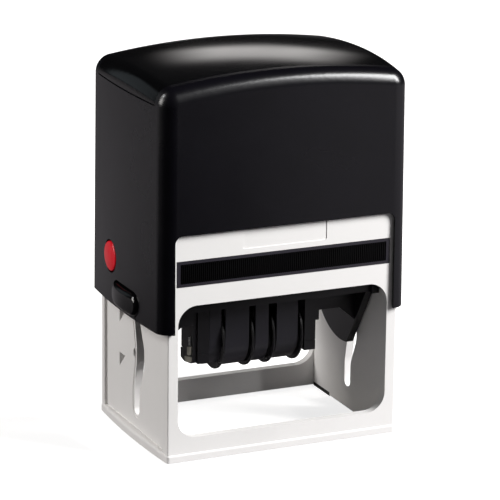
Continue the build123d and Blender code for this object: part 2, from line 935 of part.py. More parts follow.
def make_date_wheel(n):
    """A toothed thumb wheel with the hub that drives its band."""
    start = wheel_starts[n]
    y = pivot_y
    z = pivot_z - wheel_drop
    rim = []
    for tooth in range(2 * tooth_count):
        radius = wheel_radius - tooth_depth * (tooth % 2)
        angle = math.pi * tooth / tooth_count
        rim.append((y + radius * math.cos(angle), z + radius * math.sin(angle)))
    disc = side_prism(polygon(rim), start, start + wheel_thickness)
    hub = x_rod(band_radii[n] - band_thickness - hub_gap, band_spans[n][0], start, y, z)
    bore = x_rod(axle_radius + running_fit, band_spans[n][0] - 1, start + wheel_thickness + 1, y, z)
    return disc + hub - bore


def strip_outer_x():
    """The outer face of the strip on the left bracket."""
    return left_bracket_x - bracket_thickness - bracket_strip


def make_wheel_axle():
    """The steel axle of the date wheels, held by both brackets."""
    z = pivot_z - wheel_drop
    start = left_bracket_x - bracket_thickness
    return x_rod(axle_radius, start, right_bracket_x + bracket_thickness, pivot_y, z)


def bracket_body(x0, x1):
    """One bracket: a foot round the axle that widens up to the holder, with a split line."""
    foot = -wheel_drop - bracket_below_axle
    knee = -wheel_drop + bracket_knee_above_axle
    outline = [
        (-band_radius, holder_bottom_h),
        (-band_radius, foot),
        (bracket_foot_back, foot),
        (bracket_foot_back, knee),
        (band_radius, knee + band_radius - bracket_foot_back),
        (band_radius, holder_bottom_h),
    ]
    body = unit_prism(outline, x0, x1)
    split_z = pivot_z - wheel_drop - bracket_below_axle + bracket_split_above_foot
    front_y = pivot_y - band_radius
    body -= block(x0 - 1, x1 + 1, front_y - 1, front_y + bracket_split, split_z, split_z + bracket_split)
    return body


def axle_bore(x0, x1):
    """The hole that holds the wheel axle."""
    return x_rod(axle_radius, x0, x1, pivot_y, pivot_z - wheel_drop)


def make_dater_side_left():
    """The left bracket, with a thinner strip on its outer face."""
    outer = left_bracket_x - bracket_thickness
    outline = [(b, height - wheel_drop) for b, height in strip_foot]
    outline = [(strip_foot[0][0], holder_bottom_h), *outline, (strip_foot[-1][0], holder_bottom_h)]
    strip = unit_prism(outline, strip_outer_x(), outer)
    body = bracket_body(outer, left_bracket_x) + strip
    return body - axle_bore(outer, left_bracket_x + 1)


def make_dater_side_right():
    """The right bracket."""
    body = bracket_body(right_bracket_x, right_bracket_x + bracket_thickness)
    return body - axle_bore(right_bracket_x - 1, right_bracket_x + bracket_thickness + 1)


band_radii = [thin_band_radius, band_radius, band_radius, band_radius]

nodes = {
    "frame": make_frame(),
    "base_feet": foot_blocks(),
    "cover": make_cover(),
    "top_cap": make_top_cap(),
    "pad_cassette": make_pad_cassette(),
    "ink_pad": make_ink_pad(),
    "spring_deck": make_spring_deck(),
    "die_holder": make_die_holder(),
    "text_plate": make_text_plate(),
    "text_rubber": make_text_rubber(),
    "dater_side_left": make_dater_side_left(),
    "dater_side_right": make_dater_side_right(),
    "band_nose": make_band_nose(),
    "wheel_axle": make_wheel_axle(),
}
for side, make in (
    ("axle_cap", make_axle_cap),
    ("axle_pin", make_axle_pin),
    ("lock_button", make_lock_button),
    ("return_spring", make_return_spring),
):
    right = make()
    nodes[f"{side}_right"] = right
    nodes[f"{side}_left"] = mirror(right, about=Plane.YZ)
for n in range(len(band_spans)):
    nodes[f"date_wheel_{n + 1}"] = make_date_wheel(n)
    nodes[f"date_band_{n + 1}"] = make_date_band(n)

os.makedirs("parts", exist_ok=True)
for name, piece in nodes.items():
    export_step(piece, f"parts/{name}.step")
    print(f"{name}: {piece.volume / 1000:.2f} cm3")
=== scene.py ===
# %% [markdown]
# # A self-inking date stamp
# The stamp has a satin black cover over a white frame. Inside, a black unit with date wheels hangs
# from two pins and turns over when the cover is pressed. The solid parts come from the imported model,
# which is right in size and place, so this lesson dresses them: plastics, rubber, steel and foam,
# and the small pieces that are softer or finer than the solids.

# %% Load the solid parts
import math

import bmesh
import bpy
from mathutils import Matrix, Vector


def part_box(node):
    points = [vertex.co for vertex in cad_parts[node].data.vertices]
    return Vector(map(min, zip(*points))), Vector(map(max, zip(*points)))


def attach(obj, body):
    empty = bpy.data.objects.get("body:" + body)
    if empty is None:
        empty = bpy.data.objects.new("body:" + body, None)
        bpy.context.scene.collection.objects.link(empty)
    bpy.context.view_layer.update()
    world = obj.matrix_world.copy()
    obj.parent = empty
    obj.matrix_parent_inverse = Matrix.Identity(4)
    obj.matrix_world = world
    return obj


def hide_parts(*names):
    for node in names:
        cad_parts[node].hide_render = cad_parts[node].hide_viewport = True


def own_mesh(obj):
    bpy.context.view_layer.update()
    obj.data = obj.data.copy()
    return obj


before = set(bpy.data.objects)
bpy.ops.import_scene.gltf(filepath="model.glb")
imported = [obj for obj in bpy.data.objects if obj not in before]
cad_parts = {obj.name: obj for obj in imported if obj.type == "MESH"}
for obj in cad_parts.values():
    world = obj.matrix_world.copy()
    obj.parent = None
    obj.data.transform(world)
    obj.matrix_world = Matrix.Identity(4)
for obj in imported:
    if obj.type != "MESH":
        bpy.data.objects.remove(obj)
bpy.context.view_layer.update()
scene = bpy.context.scene

# %% [markdown]
# ## Camera and light
# The photograph was taken from the left front with a long lens, a little above the stamp. A long lens
# is a small angle of view, so the camera stands almost a metre away and the edges stay nearly
# parallel. Its place follows from three angles and a distance.

# %% The camera
VIEW_YAW = math.radians(24.43)
VIEW_PITCH = math.radians(16.27)
VIEW_ROLL = math.radians(0.68)
VIEW_DISTANCE = 0.9833
VIEW_TARGET_Z = 0.0577
VIEW_TARGET_RIGHT = 0.00056
SENSOR_WIDTH = 36.0
FOCAL_IN_PIXELS = 3090.9
PHOTO_SIDE = 500


def place_camera():
    """Stands the camera where the photograph was taken."""
    backward = Vector(
        (
            -math.sin(VIEW_YAW) * math.cos(VIEW_PITCH),
            -math.cos(VIEW_YAW) * math.cos(VIEW_PITCH),
            math.sin(VIEW_PITCH),
        )
    )
    level_right = (-backward).cross(Vector((0, 0, 1))).normalized()
    level_up = backward.cross(level_right)
    right = level_right * math.cos(VIEW_ROLL) + level_up * math.sin(VIEW_ROLL)
    up = level_up * math.cos(VIEW_ROLL) - level_right * math.sin(VIEW_ROLL)
    data = bpy.data.cameras.new("photo camera")
    data.sensor_width = SENSOR_WIDTH
    data.lens = SENSOR_WIDTH * FOCAL_IN_PIXELS / PHOTO_SIDE
    data.clip_start = 0.05
    camera = bpy.data.objects.new("photo_camera", data)
    scene.collection.objects.link(camera)
    turn = Matrix((right, up, backward)).transposed()
    target = right * VIEW_TARGET_RIGHT + Vector((0, 0, VIEW_TARGET_Z))
    camera.matrix_world = Matrix.Translation(target + backward * VIEW_DISTANCE) @ turn.to_4x4()
    scene.camera = camera
    return camera


camera = place_camera()
print("camera at", [round(v, 3) for v in camera.location])

# %% [markdown]
# The stamp was lit in a dark studio and cut out on white afterwards: its black plastic reflects almost
# nothing but the lamps. The key light stands to the front right, fairly high, and draws the bright band
# along the cover's front edge. A lamp at the left rear brings out the side, and a small one over it
# puts the round spot on the cover's front left corner.

# %% Lamps
LOOKED_AT = (0.0, 0.0, 0.06)


def soft_light(name, towards, distance, size, power, colour=(1.0, 1.0, 1.0)):
    """A rectangular lamp in a direction from the stamp, turned to it."""
    data = bpy.data.lights.new(name, "AREA")
    data.shape = "RECTANGLE"
    data.size, data.size_y = size
    data.energy = power
    data.color = colour
    lamp = bpy.data.objects.new(name, data)
    direction = Vector(towards).normalized()
    lamp.location = Vector(LOOKED_AT) + direction * distance
    lamp.rotation_euler = (-direction).to_track_quat("-Z", "Y").to_euler()
    scene.collection.objects.link(lamp)
    return lamp


lamps = [
    soft_light("key_right_front", (0.63, -0.55, 0.545), 1.25, (0.4, 0.8), 29.0),
    soft_light("side_left_rear", (-0.93, 0.25, 0.3), 1.1, (0.45, 0.5), 6.0, (1.0, 0.97, 0.945)),
    soft_light("small_upper_left", (-0.69, 0.27, 0.67), 1.0, (0.24, 0.24), 2.4),
]
print(len(lamps), "lamps")

# %% [markdown]
# One world colour can't serve a cut-out photograph. A white one would shine in the black plastic, and a
# dark one would show behind the stamp. So the world is white to the camera, nearly black in reflections
# and an even low fill for everything else. The kind of ray tells them apart.

# %% World
FILL = 0.09
STUDIO_IN_REFLECTIONS = 0.006


def studio():
    """A world that is white to the camera, dim in reflections, and an even fill for the rest."""
    world = bpy.data.worlds.new("studio")
    world.use_nodes = True
    nodes, links = world.node_tree.nodes, world.node_tree.links
    nodes.clear()
    path = nodes.new("ShaderNodeLightPath")
    out = nodes.new("ShaderNodeOutputWorld")
    layers = {}
    for label, strength in (("fill", FILL), ("reflected", STUDIO_IN_REFLECTIONS), ("white", 1.0)):
        layers[label] = nodes.new("ShaderNodeBackground")
        layers[label].inputs["Color"].default_value = (1, 1, 1, 1)
        layers[label].inputs["Strength"].default_value = strength
    seen = nodes.new("ShaderNodeMath")
    seen.operation = "MAXIMUM"
    links.new(path.outputs["Is Camera Ray"], seen.inputs[0])
    links.new(path.outputs["Is Transmission Ray"], seen.inputs[1])
    glossy = nodes.new("ShaderNodeMixShader")
    links.new(path.outputs["Is Glossy Ray"], glossy.inputs[0])
    links.new(layers["fill"].outputs[0], glossy.inputs[1])
    links.new(layers["reflected"].outputs[0], glossy.inputs[2])
    mix = nodes.new("ShaderNodeMixShader")
    links.new(seen.outputs[0], mix.inputs[0])
    links.new(glossy.outputs[0], mix.inputs[1])
    links.new(layers["white"].outputs[0], mix.inputs[2])
    links.new(mix.outputs[0], out.inputs["Surface"])
    scene.world = world
    return world


print("world:", studio().name)
scene.view_settings.view_transform = "Standard"

# %% [markdown]
# ## Floor, card and panels
# The floor glows for the camera only, so that it looks white and still takes a soft shadow. To the
# stamp it is a mid grey, so that it bounces little light up. A small white patch of it under the right
# of the opening lights the inner right wall and the back bar.

# %% The floor and its patch
FLOOR_GLOW = 0.8
FLOOR_TO_CAMERA = (0.62, 0.61, 0.6, 1)
FLOOR_TO_STAMP = (0.2, 0.19, 0.2, 1)
FLOOR_CORNERS = [(-6, -6), (6, -6), (6, 6), (-6, 6)]
PATCH_TO_STAMP = (0.8, 0.77, 0.73, 1)
PATCH_CORNERS = [(0.018, -0.024), (0.0355, -0.024), (0.0355, 0.012), (0.018, 0.012)]
PATCH_HEIGHT = 0.0003


def flat_sheet(name, corners, height):
    """A flat staging piece at a height over the floor."""
    mesh = bpy.data.meshes.new(name)
    mesh.from_pydata([(x, y, height) for x, y in corners], [], [tuple(range(len(corners)))])
    sheet = bpy.data.objects.new(name, mesh)
    scene.collection.objects.link(sheet)
    return sheet


def floor_paper(to_stamp):
    """White to the camera, and another tone in reflections and for the light that it bounces."""
    material = bpy.data.materials.new("floor paper")
    material.use_nodes = True
    nodes, links = material.node_tree.nodes, material.node_tree.links
    nodes.clear()
    path = nodes.new("ShaderNodeLightPath")
    tint = nodes.new("ShaderNodeMix")
    tint.data_type = "RGBA"
    tint.inputs[6].default_value = to_stamp
    tint.inputs[7].default_value = FLOOR_TO_CAMERA
    paper = nodes.new("ShaderNodeBsdfDiffuse")
    glow = nodes.new("ShaderNodeEmission")
    glow.inputs["Strength"].default_value = FLOOR_GLOW
    both = nodes.new("ShaderNodeAddShader")
    mix = nodes.new("ShaderNodeMixShader")
    out = nodes.new("ShaderNodeOutputMaterial")
    links.new(path.outputs["Is Camera Ray"], tint.inputs["Factor"])
    links.new(tint.outputs[2], paper.inputs["Color"])
    links.new(paper.outputs[0], both.inputs[0])
    links.new(glow.outputs[0], both.inputs[1])
    links.new(path.outputs["Is Camera Ray"], mix.inputs[0])
    links.new(paper.outputs[0], mix.inputs[1])
    links.new(both.outputs[0], mix.inputs[2])
    links.new(mix.outputs[0], out.inputs["Surface"])
    return material


floor = flat_sheet("floor", FLOOR_CORNERS, 0.0)
floor.data.materials.append(floor_paper(FLOOR_TO_STAMP))
patch = flat_sheet("white_patch", PATCH_CORNERS, PATCH_HEIGHT)
patch.data.materials.append(floor_paper(PATCH_TO_STAMP))
print("floor and patch placed")

# %% [markdown]
# A black card lies at the front left, as a photographer would put it. It draws the dark line down the
# cover's front left corner, and keeps the slots and grooves of the white side dark.

# %% The black card
CARD_TONE = (0.002, 0.002, 0.002, 1)
CARD_HEIGHT = 0.0005
CARD_CORNERS = [
    (-0.06, 0.03),
    (-1.2, 0.5),
    (-1.6, -0.6),
    (-0.9, -1.7),
    (0.57, -1.3),
    (0.0, -0.04),
    (-0.05, -0.04),
]


def card_black():
    """A plain black that shows in reflections."""
    material = bpy.data.materials.new("black card")
    material.use_nodes = True
    nodes, links = material.node_tree.nodes, material.node_tree.links
    nodes.clear()
    black = nodes.new("ShaderNodeBsdfDiffuse")
    black.inputs["Color"].default_value = CARD_TONE
    out = nodes.new("ShaderNodeOutputMaterial")
    links.new(black.outputs[0], out.inputs["Surface"])
    return material


card = flat_sheet("black_card", CARD_CORNERS, CARD_HEIGHT)
card.data.materials.append(card_black())
print("black card placed")

# %% [markdown]
# The glossy top shows two reflections: a long warm one across its middle and a faint cool one on its
# left end. A lamp would give them hard edges, so each comes from a panel whose glow fades outwards.
# They light nothing else, and neither they nor the card and the patch are seen by the camera.

# %% Glowing panels
PANEL_AIM = Vector((0.0, 0.0, 0.12))
PANEL_DISTANCE = 1.2
WARM_GLOW = (1.0, 0.97, 0.95, 1)
COOL_GLOW = (0.82, 0.93, 1.0, 1)


def panel_glow(size, core, power, colour):
    """Light that fades towards the panel's edges, for reflections only."""
    material = bpy.data.materials.new("panel glow")
    material.use_nodes = True
    nodes, links = material.node_tree.nodes, material.node_tree.links
    nodes.clear()
    place = nodes.new("ShaderNodeTexCoord")
    split = nodes.new("ShaderNodeSeparateXYZ")
    links.new(place.outputs["Object"], split.inputs[0])
    across = []
    for axis, half in (("X", size[0] / 2), ("Y", size[1] / 2)):
        away = nodes.new("ShaderNodeMath")
        away.operation = "ABSOLUTE"
        links.new(split.outputs[axis], away.inputs[0])
        fade = nodes.new("ShaderNodeMapRange")
        fade.interpolation_type = "SMOOTHSTEP"
        fade.inputs["From Min"].default_value = half
        fade.inputs["From Max"].default_value = half * core
        links.new(away.outputs[0], fade.inputs["Value"])
        across.append(fade.outputs["Result"])
    level = nodes.new("ShaderNodeMath")
    level.operation = "MULTIPLY"
    strength = nodes.new("ShaderNodeMath")
    strength.operation = "MULTIPLY"
    strength.inputs[1].default_value = power
    glow = nodes.new("ShaderNodeEmission")
    glow.inputs["Color"].default_value = colour
    out = nodes.new("ShaderNodeOutputMaterial")
    links.new(across[0], level.inputs[0])
    links.new(across[1], level.inputs[1])
    links.new(level.outputs[0], strength.inputs[0])
    links.new(strength.outputs[0], glow.inputs["Strength"])
    links.new(glow.outputs[0], out.inputs["Surface"])
    return material


def reflected_panel(name, compass, rise, size, core, power, colour):
    """A glowing panel that is seen in reflections; compass is in degrees from +X."""
    half_x, half_y = size[0] / 2, size[1] / 2
    corners = [(-half_x, -half_y), (half_x, -half_y), (half_x, half_y), (-half_x, half_y)]
    panel = flat_sheet(name, corners, 0)
    angle = math.radians(compass)
    way = Vector((math.cos(angle), math.sin(angle), rise)).normalized()
    panel.location = PANEL_AIM + way * PANEL_DISTANCE
    panel.rotation_euler = (-way).to_track_quat("-Z", "Y").to_euler()
    panel.data.materials.append(panel_glow(size, core, power, colour))
    panel.visible_diffuse = False
    return panel


panels = [
    reflected_panel("panel_behind", 65.0, 0.285, (0.32, 0.29), 0.3, 1.6, WARM_GLOW),
    reflected_panel("panel_left_rear", 120.0, 0.2, (0.55, 0.85), 0.6, 0.2, COOL_GLOW),
]
for sheet in (card, patch, *panels):
    sheet.visible_camera = False
    sheet.visible_shadow = False
    sheet.visible_transmission = False
print(len(panels), "panels placed")

# %% [markdown]
# ## Finishes
# Moulded plastic is never quite even: the steel mould leaves a very fine grain, the colour varies a
# little, and handling polishes it in patches. Two node groups hold these effects, so that each
# material can use them with its own values.

# %% Helpers for node groups
NOISE_RANGE = (0.3, 0.7)


def new_group(name, inputs, outputs):
    """A shader node group with named number inputs and typed outputs."""
    group = bpy.data.node_groups.new(name, "ShaderNodeTree")
    for label, value in inputs:
        socket = group.interface.new_socket(label, in_out="INPUT", socket_type="NodeSocketFloat")
        socket.default_value = value
    for label, kind in outputs:
        group.interface.new_socket(label, in_out="OUTPUT", socket_type=kind)
    source = group.nodes.new("NodeGroupInput")
    sink = group.nodes.new("NodeGroupOutput")
    return group, source, sink


def noise(nodes, links, vector, scale, detail=2.0, roughness=0.5):
    """A noise texture on the given coordinates; scale is a number or a socket."""
    texture = nodes.new("ShaderNodeTexNoise")
    texture.inputs["Detail"].default_value = detail
    texture.inputs["Roughness"].default_value = roughness
    links.new(vector, texture.inputs["Vector"])
    if isinstance(scale, (int, float)):
        texture.inputs["Scale"].default_value = scale
    else:
        links.new(scale, texture.inputs["Scale"])
    return texture.outputs["Fac"]


def spread(nodes, links, value, low, high):
    """Stretches a noise value, mostly inside NOISE_RANGE, to the range low to high."""
    stretch = nodes.new("ShaderNodeMapRange")
    stretch.inputs["From Min"].default_value = NOISE_RANGE[0]
    stretch.inputs["From Max"].default_value = NOISE_RANGE[1]
    for label, bound in (("To Min", low), ("To Max", high)):
        if isinstance(bound, (int, float)):
            stretch.inputs[label].default_value = bound
        else:
            links.new(bound, stretch.inputs[label])
    links.new(value, stretch.inputs["Value"])
    return stretch.outputs["Result"]


print("noise is stretched from", NOISE_RANGE)


# %% Shared effects
def mould_grain_group():
    """Fine grain as a height, and slow patches as roughness."""
    group, source, sink = new_group(
        "mould grain",
        [("Grain Scale", 2600.0), ("Patch Scale", 35.0), ("Smoothest", 0.3), ("Roughest", 0.4)],
        [("Height", "NodeSocketFloat"), ("Roughness", "NodeSocketFloat")],
    )
    nodes, links = group.nodes, group.links
    place = nodes.new("ShaderNodeTexCoord").outputs["Object"]
    grain = noise(nodes, links, place, source.outputs["Grain Scale"], 1.0)
    patch = noise(nodes, links, place, source.outputs["Patch Scale"], 3.0)
    rough = spread(nodes, links, patch, source.outputs["Smoothest"], source.outputs["Roughest"])
    links.new(grain, sink.inputs["Height"])
    links.new(rough, sink.inputs["Roughness"])
    return group


def tone_group():
    """Slow variation of a colour between two tones, as in plastic coloured in the mould."""
    group, source, sink = new_group("uneven tone", [("Scale", 60.0)], [("Color", "NodeSocketColor")])
    for label in ("Tone A", "Tone B"):
        group.interface.new_socket(label, in_out="INPUT", socket_type="NodeSocketColor")
    nodes, links = group.nodes, group.links
    place = nodes.new("ShaderNodeTexCoord").outputs["Object"]
    cloud = noise(nodes, links, place, source.outputs["Scale"], 4.0, 0.6)
    share = spread(nodes, links, cloud, 0.0, 1.0)
    mix = nodes.new("ShaderNodeMix")
    mix.data_type = "RGBA"
    links.new(share, mix.inputs["Factor"])
    links.new(source.outputs["Tone A"], mix.inputs[6])
    links.new(source.outputs["Tone B"], mix.inputs[7])
    links.new(mix.outputs[2], sink.inputs["Color"])
    return group


MOULD_GRAIN = mould_grain_group()
UNEVEN_TONE = tone_group()
print("node groups:", MOULD_GRAIN.name, "and", UNEVEN_TONE.name)

# %% [markdown]
# A plastic then needs two close tones, a range of roughness, a grain and its depth. Sockets that are
# the same all over the surface are set on the shader itself.

# %% A finish
GRAIN_HEIGHT = 0.00002


def finish(name, tones, smoothest, roughest, grain=2600.0, depth=0.15, specular=0.5, **extra):
    """A material with an uneven tone, a patchy gloss and a fine grain."""
    material = bpy.data.materials.new(name)
    material.use_nodes = True
    nodes, links = material.node_tree.nodes, material.node_tree.links
    shader = nodes["Principled BSDF"]
    tone = nodes.new("ShaderNodeGroup")
    tone.node_tree = UNEVEN_TONE
    for label, colour in zip(("Tone A", "Tone B"), tones):
        tone.inputs[label].default_value = (*colour, 1)
    skin = nodes.new("ShaderNodeGroup")
    skin.node_tree = MOULD_GRAIN
    skin.inputs["Grain Scale"].default_value = grain
    skin.inputs["Smoothest"].default_value = smoothest
    skin.inputs["Roughest"].default_value = roughest
    bump = nodes.new("ShaderNodeBump")
    bump.inputs["Strength"].default_value = depth
    bump.inputs["Distance"].default_value = GRAIN_HEIGHT
    links.new(tone.outputs["Color"], shader.inputs["Base Color"])
    links.new(skin.outputs["Roughness"], shader.inputs["Roughness"])
    links.new(skin.outputs["Height"], bump.inputs["Height"])
    links.new(bump.outputs["Normal"], shader.inputs["Normal"])
    shader.inputs["Specular IOR Level"].default_value = specular
    for label, value in extra.items():
        shader.inputs[label.replace("_", " ")].default_value = value
    return material


print("grain height", GRAIN_HEIGHT * 1000, "mm")

# %% [markdown]
# The cover is satin black with a trace of violet, and the saddle in its top is polished. The unit inside
# is duller, and the pad's bezel nearly swallows light. The white of the frame is warm and never quite
# full, so that its edges can still be brighter than its faces.

# %% Plastics, rubber and steel
SATIN_BLACK = finish(
    "satin black plastic", ((0.0020, 0.0018, 0.0031), (0.0031, 0.0028, 0.0046)), 0.23, 0.28
)
GLOSS_BLACK = finish(
    "glossy black plastic", ((0.0018, 0.0018, 0.0022), (0.0028, 0.0028, 0.0033)), 0.10, 0.15, depth=0.02
)
MATTE_BLACK = finish(
    "matte black plastic", ((0.0045, 0.004, 0.0055), (0.0065, 0.006, 0.0075)), 0.3, 0.38, depth=0.2
)
BAND_RUBBER = finish(
    "date band rubber", ((0.009, 0.0082, 0.0125), (0.013, 0.012, 0.017)), 0.36, 0.46, depth=0.3
)
FOOT_RUBBER = finish(
    "foot rubber", ((0.010, 0.010, 0.010), (0.018, 0.018, 0.018)), 0.6, 0.75, depth=0.5
)
PRINT_RUBBER = finish(
    "print rubber", ((0.30, 0.09, 0.06), (0.36, 0.12, 0.08)), 0.55, 0.7, depth=0.3
)
WHITE_PLASTIC = finish(
    "white plastic", ((0.84, 0.825, 0.81), (0.87, 0.855, 0.84)), 0.30, 0.38, depth=0.05
)
GREY_PLASTIC = finish(
    "grey plastic", ((0.38, 0.38, 0.39), (0.44, 0.44, 0.45)), 0.4, 0.5, depth=0.2
)
BEZEL_BLACK = finish(
    "bezel black plastic", ((0.0008, 0.0007, 0.001), (0.0014, 0.0013, 0.0017)), 0.3, 0.38, depth=0.2
)
RED_PLASTIC = finish(
    "red button plastic", ((0.68, 0.006, 0.016), (0.74, 0.009, 0.022)), 0.16, 0.22, depth=0.03, specular=0.4
)
STEEL = finish(
    "drawn steel", ((0.55, 0.55, 0.56), (0.66, 0.66, 0.67)), 0.22, 0.35, depth=0.2, Metallic=1.0
)
print(len(bpy.data.materials), "materials")

# %% [markdown]
# The bezel of the pad is polished on its rim, and its ribs lie in shade behind it. Both belong to one
# moulding, so the rim is picked out by how far forward a point lies. There it gets more shine, and a
# lighter tone that is painted light for its lit face.

# %% Polished rim of the bezel, with painted light
RIM_DEPTH = (0.00008, 0.00002)
# painted light: the rim takes a lighter tone than the ribs, for its lit front face
RIM_PAINTED_LIGHT_TONE = (0.021, 0.0185, 0.026, 1)
SHINE_BEHIND = 0.2
SHINE_AT_RIM = 0.6


def polish_and_paint_light_on_front(material, front_y):
    """Mixes the rim's lighter tone, which is painted light, and more shine into a material where the
    surface lies at front_y.
    """
    nodes, links = material.node_tree.nodes, material.node_tree.links
    shader = nodes["Principled BSDF"]
    place = nodes.new("ShaderNodeTexCoord")
    split = nodes.new("ShaderNodeSeparateXYZ")
    links.new(place.outputs["Object"], split.inputs[0])
    mask = nodes.new("ShaderNodeMapRange")
    mask.inputs["From Min"].default_value = front_y + RIM_DEPTH[0]
    mask.inputs["From Max"].default_value = front_y + RIM_DEPTH[1]
    links.new(split.outputs["Y"], mask.inputs["Value"])
    mix = nodes.new("ShaderNodeMix")
    mix.data_type = "RGBA"
    links.new(mask.outputs["Result"], mix.inputs["Factor"])
    links.new(shader.inputs["Base Color"].links[0].from_socket, mix.inputs[6])
    # painted light: the lighter tone of the lit rim goes in here
    mix.inputs[7].default_value = RIM_PAINTED_LIGHT_TONE
    links.new(mix.outputs[2], shader.inputs["Base Color"])
    shine = nodes.new("ShaderNodeMapRange")
    shine.inputs["To Min"].default_value = SHINE_BEHIND
    shine.inputs["To Max"].default_value = SHINE_AT_RIM
    links.new(mask.outputs["Result"], shine.inputs["Value"])
    links.new(shine.outputs["Result"], shader.inputs["Specular IOR Level"])


polish_and_paint_light_on_front(BEZEL_BLACK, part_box("pad_cassette")[0].y)
print("rim tone set on", BEZEL_BLACK.name)

# %% [markdown]
# ## Dressing the solid parts
# Each solid part keeps its mesh and its place, and takes one finish.

# %% Give the solid parts their finishes
PART_FINISH = {
    "frame": WHITE_PLASTIC,
    "base_feet": FOOT_RUBBER,
    "spring_deck": GREY_PLASTIC,
    "cover": SATIN_BLACK,
    "top_cap": GLOSS_BLACK,
    "pad_cassette": BEZEL_BLACK,
    "die_holder": MATTE_BLACK,
    "text_plate": MATTE_BLACK,
    "text_rubber": PRINT_RUBBER,
    "dater_side_left": MATTE_BLACK,
    "dater_side_right": MATTE_BLACK,
    "band_nose": MATTE_BLACK,
    "wheel_axle": STEEL,
}
for side in ("left", "right"):
    PART_FINISH[f"axle_cap_{side}"] = GLOSS_BLACK
    PART_FINISH[f"axle_pin_{side}"] = STEEL
    PART_FINISH[f"lock_button_{side}"] = RED_PLASTIC
    PART_FINISH[f"return_spring_{side}"] = STEEL
for number in range(1, 5):
    PART_FINISH[f"date_band_{number}"] = BAND_RUBBER


def dress(name, material):
    """Gives a solid part its finish."""
    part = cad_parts[name]
    part.data.materials.clear()
    part.data.materials.append(material)


for name, material in PART_FINISH.items():
    dress(name, material)
print(len(PART_FINISH), "solid parts dressed")

# %% [markdown]
# No moulded edge is quite sharp. A bevel of a tenth of a millimetre is enough to catch a thin line of
# light along the saddle's seam and on the bezel's ribs, as in the photograph. A modifier does it, so the
# solid's own mesh stays untouched.

# %% Soft edges
EDGE_ANGLE = math.radians(40)
EDGE_SEGMENTS = 2
EDGE_WIDTHS = {"top_cap": 0.00012, "pad_cassette": 0.00006, "die_holder": 0.00015}
EDGE_WIDTHS.update({f"dater_side_{side}": 0.00015 for side in ("left", "right")})
for name, width in EDGE_WIDTHS.items():
    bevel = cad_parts[name].modifiers.new("soft edges", "BEVEL")
    bevel.width = width
    bevel.segments = EDGE_SEGMENTS
    bevel.limit_method = "ANGLE"
    bevel.angle_limit = EDGE_ANGLE
    bevel.harden_normals = False
print(len(EDGE_WIDTHS), "solid parts with soft edges")

# %% [markdown]
# ## The date wheels
# Each date band is moved by a thin wheel with a fine knurl, which the thumb catches. The knurl could be
# a bump in the material, but here it breaks the outline and each tooth throws back its own small light,
# so it is real geometry. One closed outline of a wheel in length and radius is turned round the axle,
# and on the rim the radius goes up and down with the teeth.

# %% A mesh in the scene
def link_mesh(name, form, material, smooth=True):
    """Makes an object of a bmesh, gives it a material and puts it in the scene."""
    mesh = bpy.data.meshes.new(name)
    for face in form.faces:
        face.smooth = smooth
    form.to_mesh(mesh)
    form.free()
    mesh.materials.append(material)
    piece = bpy.data.objects.new(name, mesh)
    scene.collection.objects.link(piece)
    return piece


def join_rings(form, rings, closed):
    """Walls between each ring of points and the next, and from the last to the first if closed."""
    following_rings = rings[1:] + rings[:1] if closed else rings[1:]
    for ring, following in zip(rings, following_rings):
        for i in range(len(ring)):
            j = (i + 1) % len(ring)
            form.faces.new((ring[i], following[i], following[j], ring[j]))


print("meshes go to the collection", scene.collection.name)

# %% Knurled wheels
TEETH = 120
TOOTH_STEPS = (0.0, 0.35, 0.5, 0.85)
TOOTH_HEIGHTS = (1.0, 1.0, 0.0, 0.0)
TOOTH_DEPTH = 0.0004
RIM_THICKNESS = 0.0008
RIM_CHAMFER = 0.00016
AXLE_BORE = 0.00156
WHEEL_HUBS = {1: 0.0077, 2: 0.0086, 3: 0.0086, 4: 0.0086}
WHEEL_BLACK = finish(
    "wheel black plastic", ((0.010, 0.0095, 0.0105), (0.015, 0.014, 0.016)), 0.24, 0.32, depth=0.1
)


def make_wheel(number):
    """A wheel with a knurled rim, a hub and a bore, in place of its plain solid."""
    low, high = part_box(f"date_wheel_{number}")
    middle = (low + high) / 2
    rim = (high.z - low.z) / 2
    disc = high.x - RIM_THICKNESS
    hub = WHEEL_HUBS[number]
    outline = [
        (low.x, AXLE_BORE, 0),
        (low.x, hub, 0),
        (disc, hub, 0),
        (disc, rim - TOOTH_DEPTH - RIM_CHAMFER, 0),
        (disc + RIM_CHAMFER, rim - TOOTH_DEPTH, 1),
        (high.x - RIM_CHAMFER, rim - TOOTH_DEPTH, 1),
        (high.x, rim - TOOTH_DEPTH - RIM_CHAMFER, 0),
        (high.x, AXLE_BORE, 0),
    ]
    form = bmesh.new()
    rings = []
    for tooth in range(TEETH):
        for step, height in zip(TOOTH_STEPS, TOOTH_HEIGHTS):
            angle = 2 * math.pi * (tooth + step) / TEETH
            ring = []
            for x, radius, toothed in outline:
                reach = radius + toothed * height * TOOTH_DEPTH
                y = middle.y + reach * math.cos(angle)
                z = middle.z + reach * math.sin(angle)
                ring.append(form.verts.new((x, y, z)))
            rings.append(ring)
    join_rings(form, rings, closed=True)
    bmesh.ops.recalc_face_normals(form, faces=form.faces)
    wheel = link_mesh(f"knurled_wheel_{number}", form, WHEEL_BLACK, smooth=False)
    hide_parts(f"date_wheel_{number}")
    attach(wheel, f"wheel_{number}")
    return wheel


wheels = [make_wheel(number) for number in range(1, 5)]
print(len(wheels), "wheels of", TEETH, "teeth")

# %% [markdown]
# ## The ink pad
# The foam fills its tray to the walls and is cut flat on its face, so only its edges are round. It is as
# dull as a surface can be, with pores much coarser than the grain of the plastics.

# %% The foam
INK_FOAM = finish(
    "inked foam", ((0.010, 0.010, 0.020), (0.018, 0.018, 0.032)), 0.8, 0.95, grain=900.0, depth=1.0
)
FOAM_ROUND = 0.0008
FOAM_SEGMENTS = 4


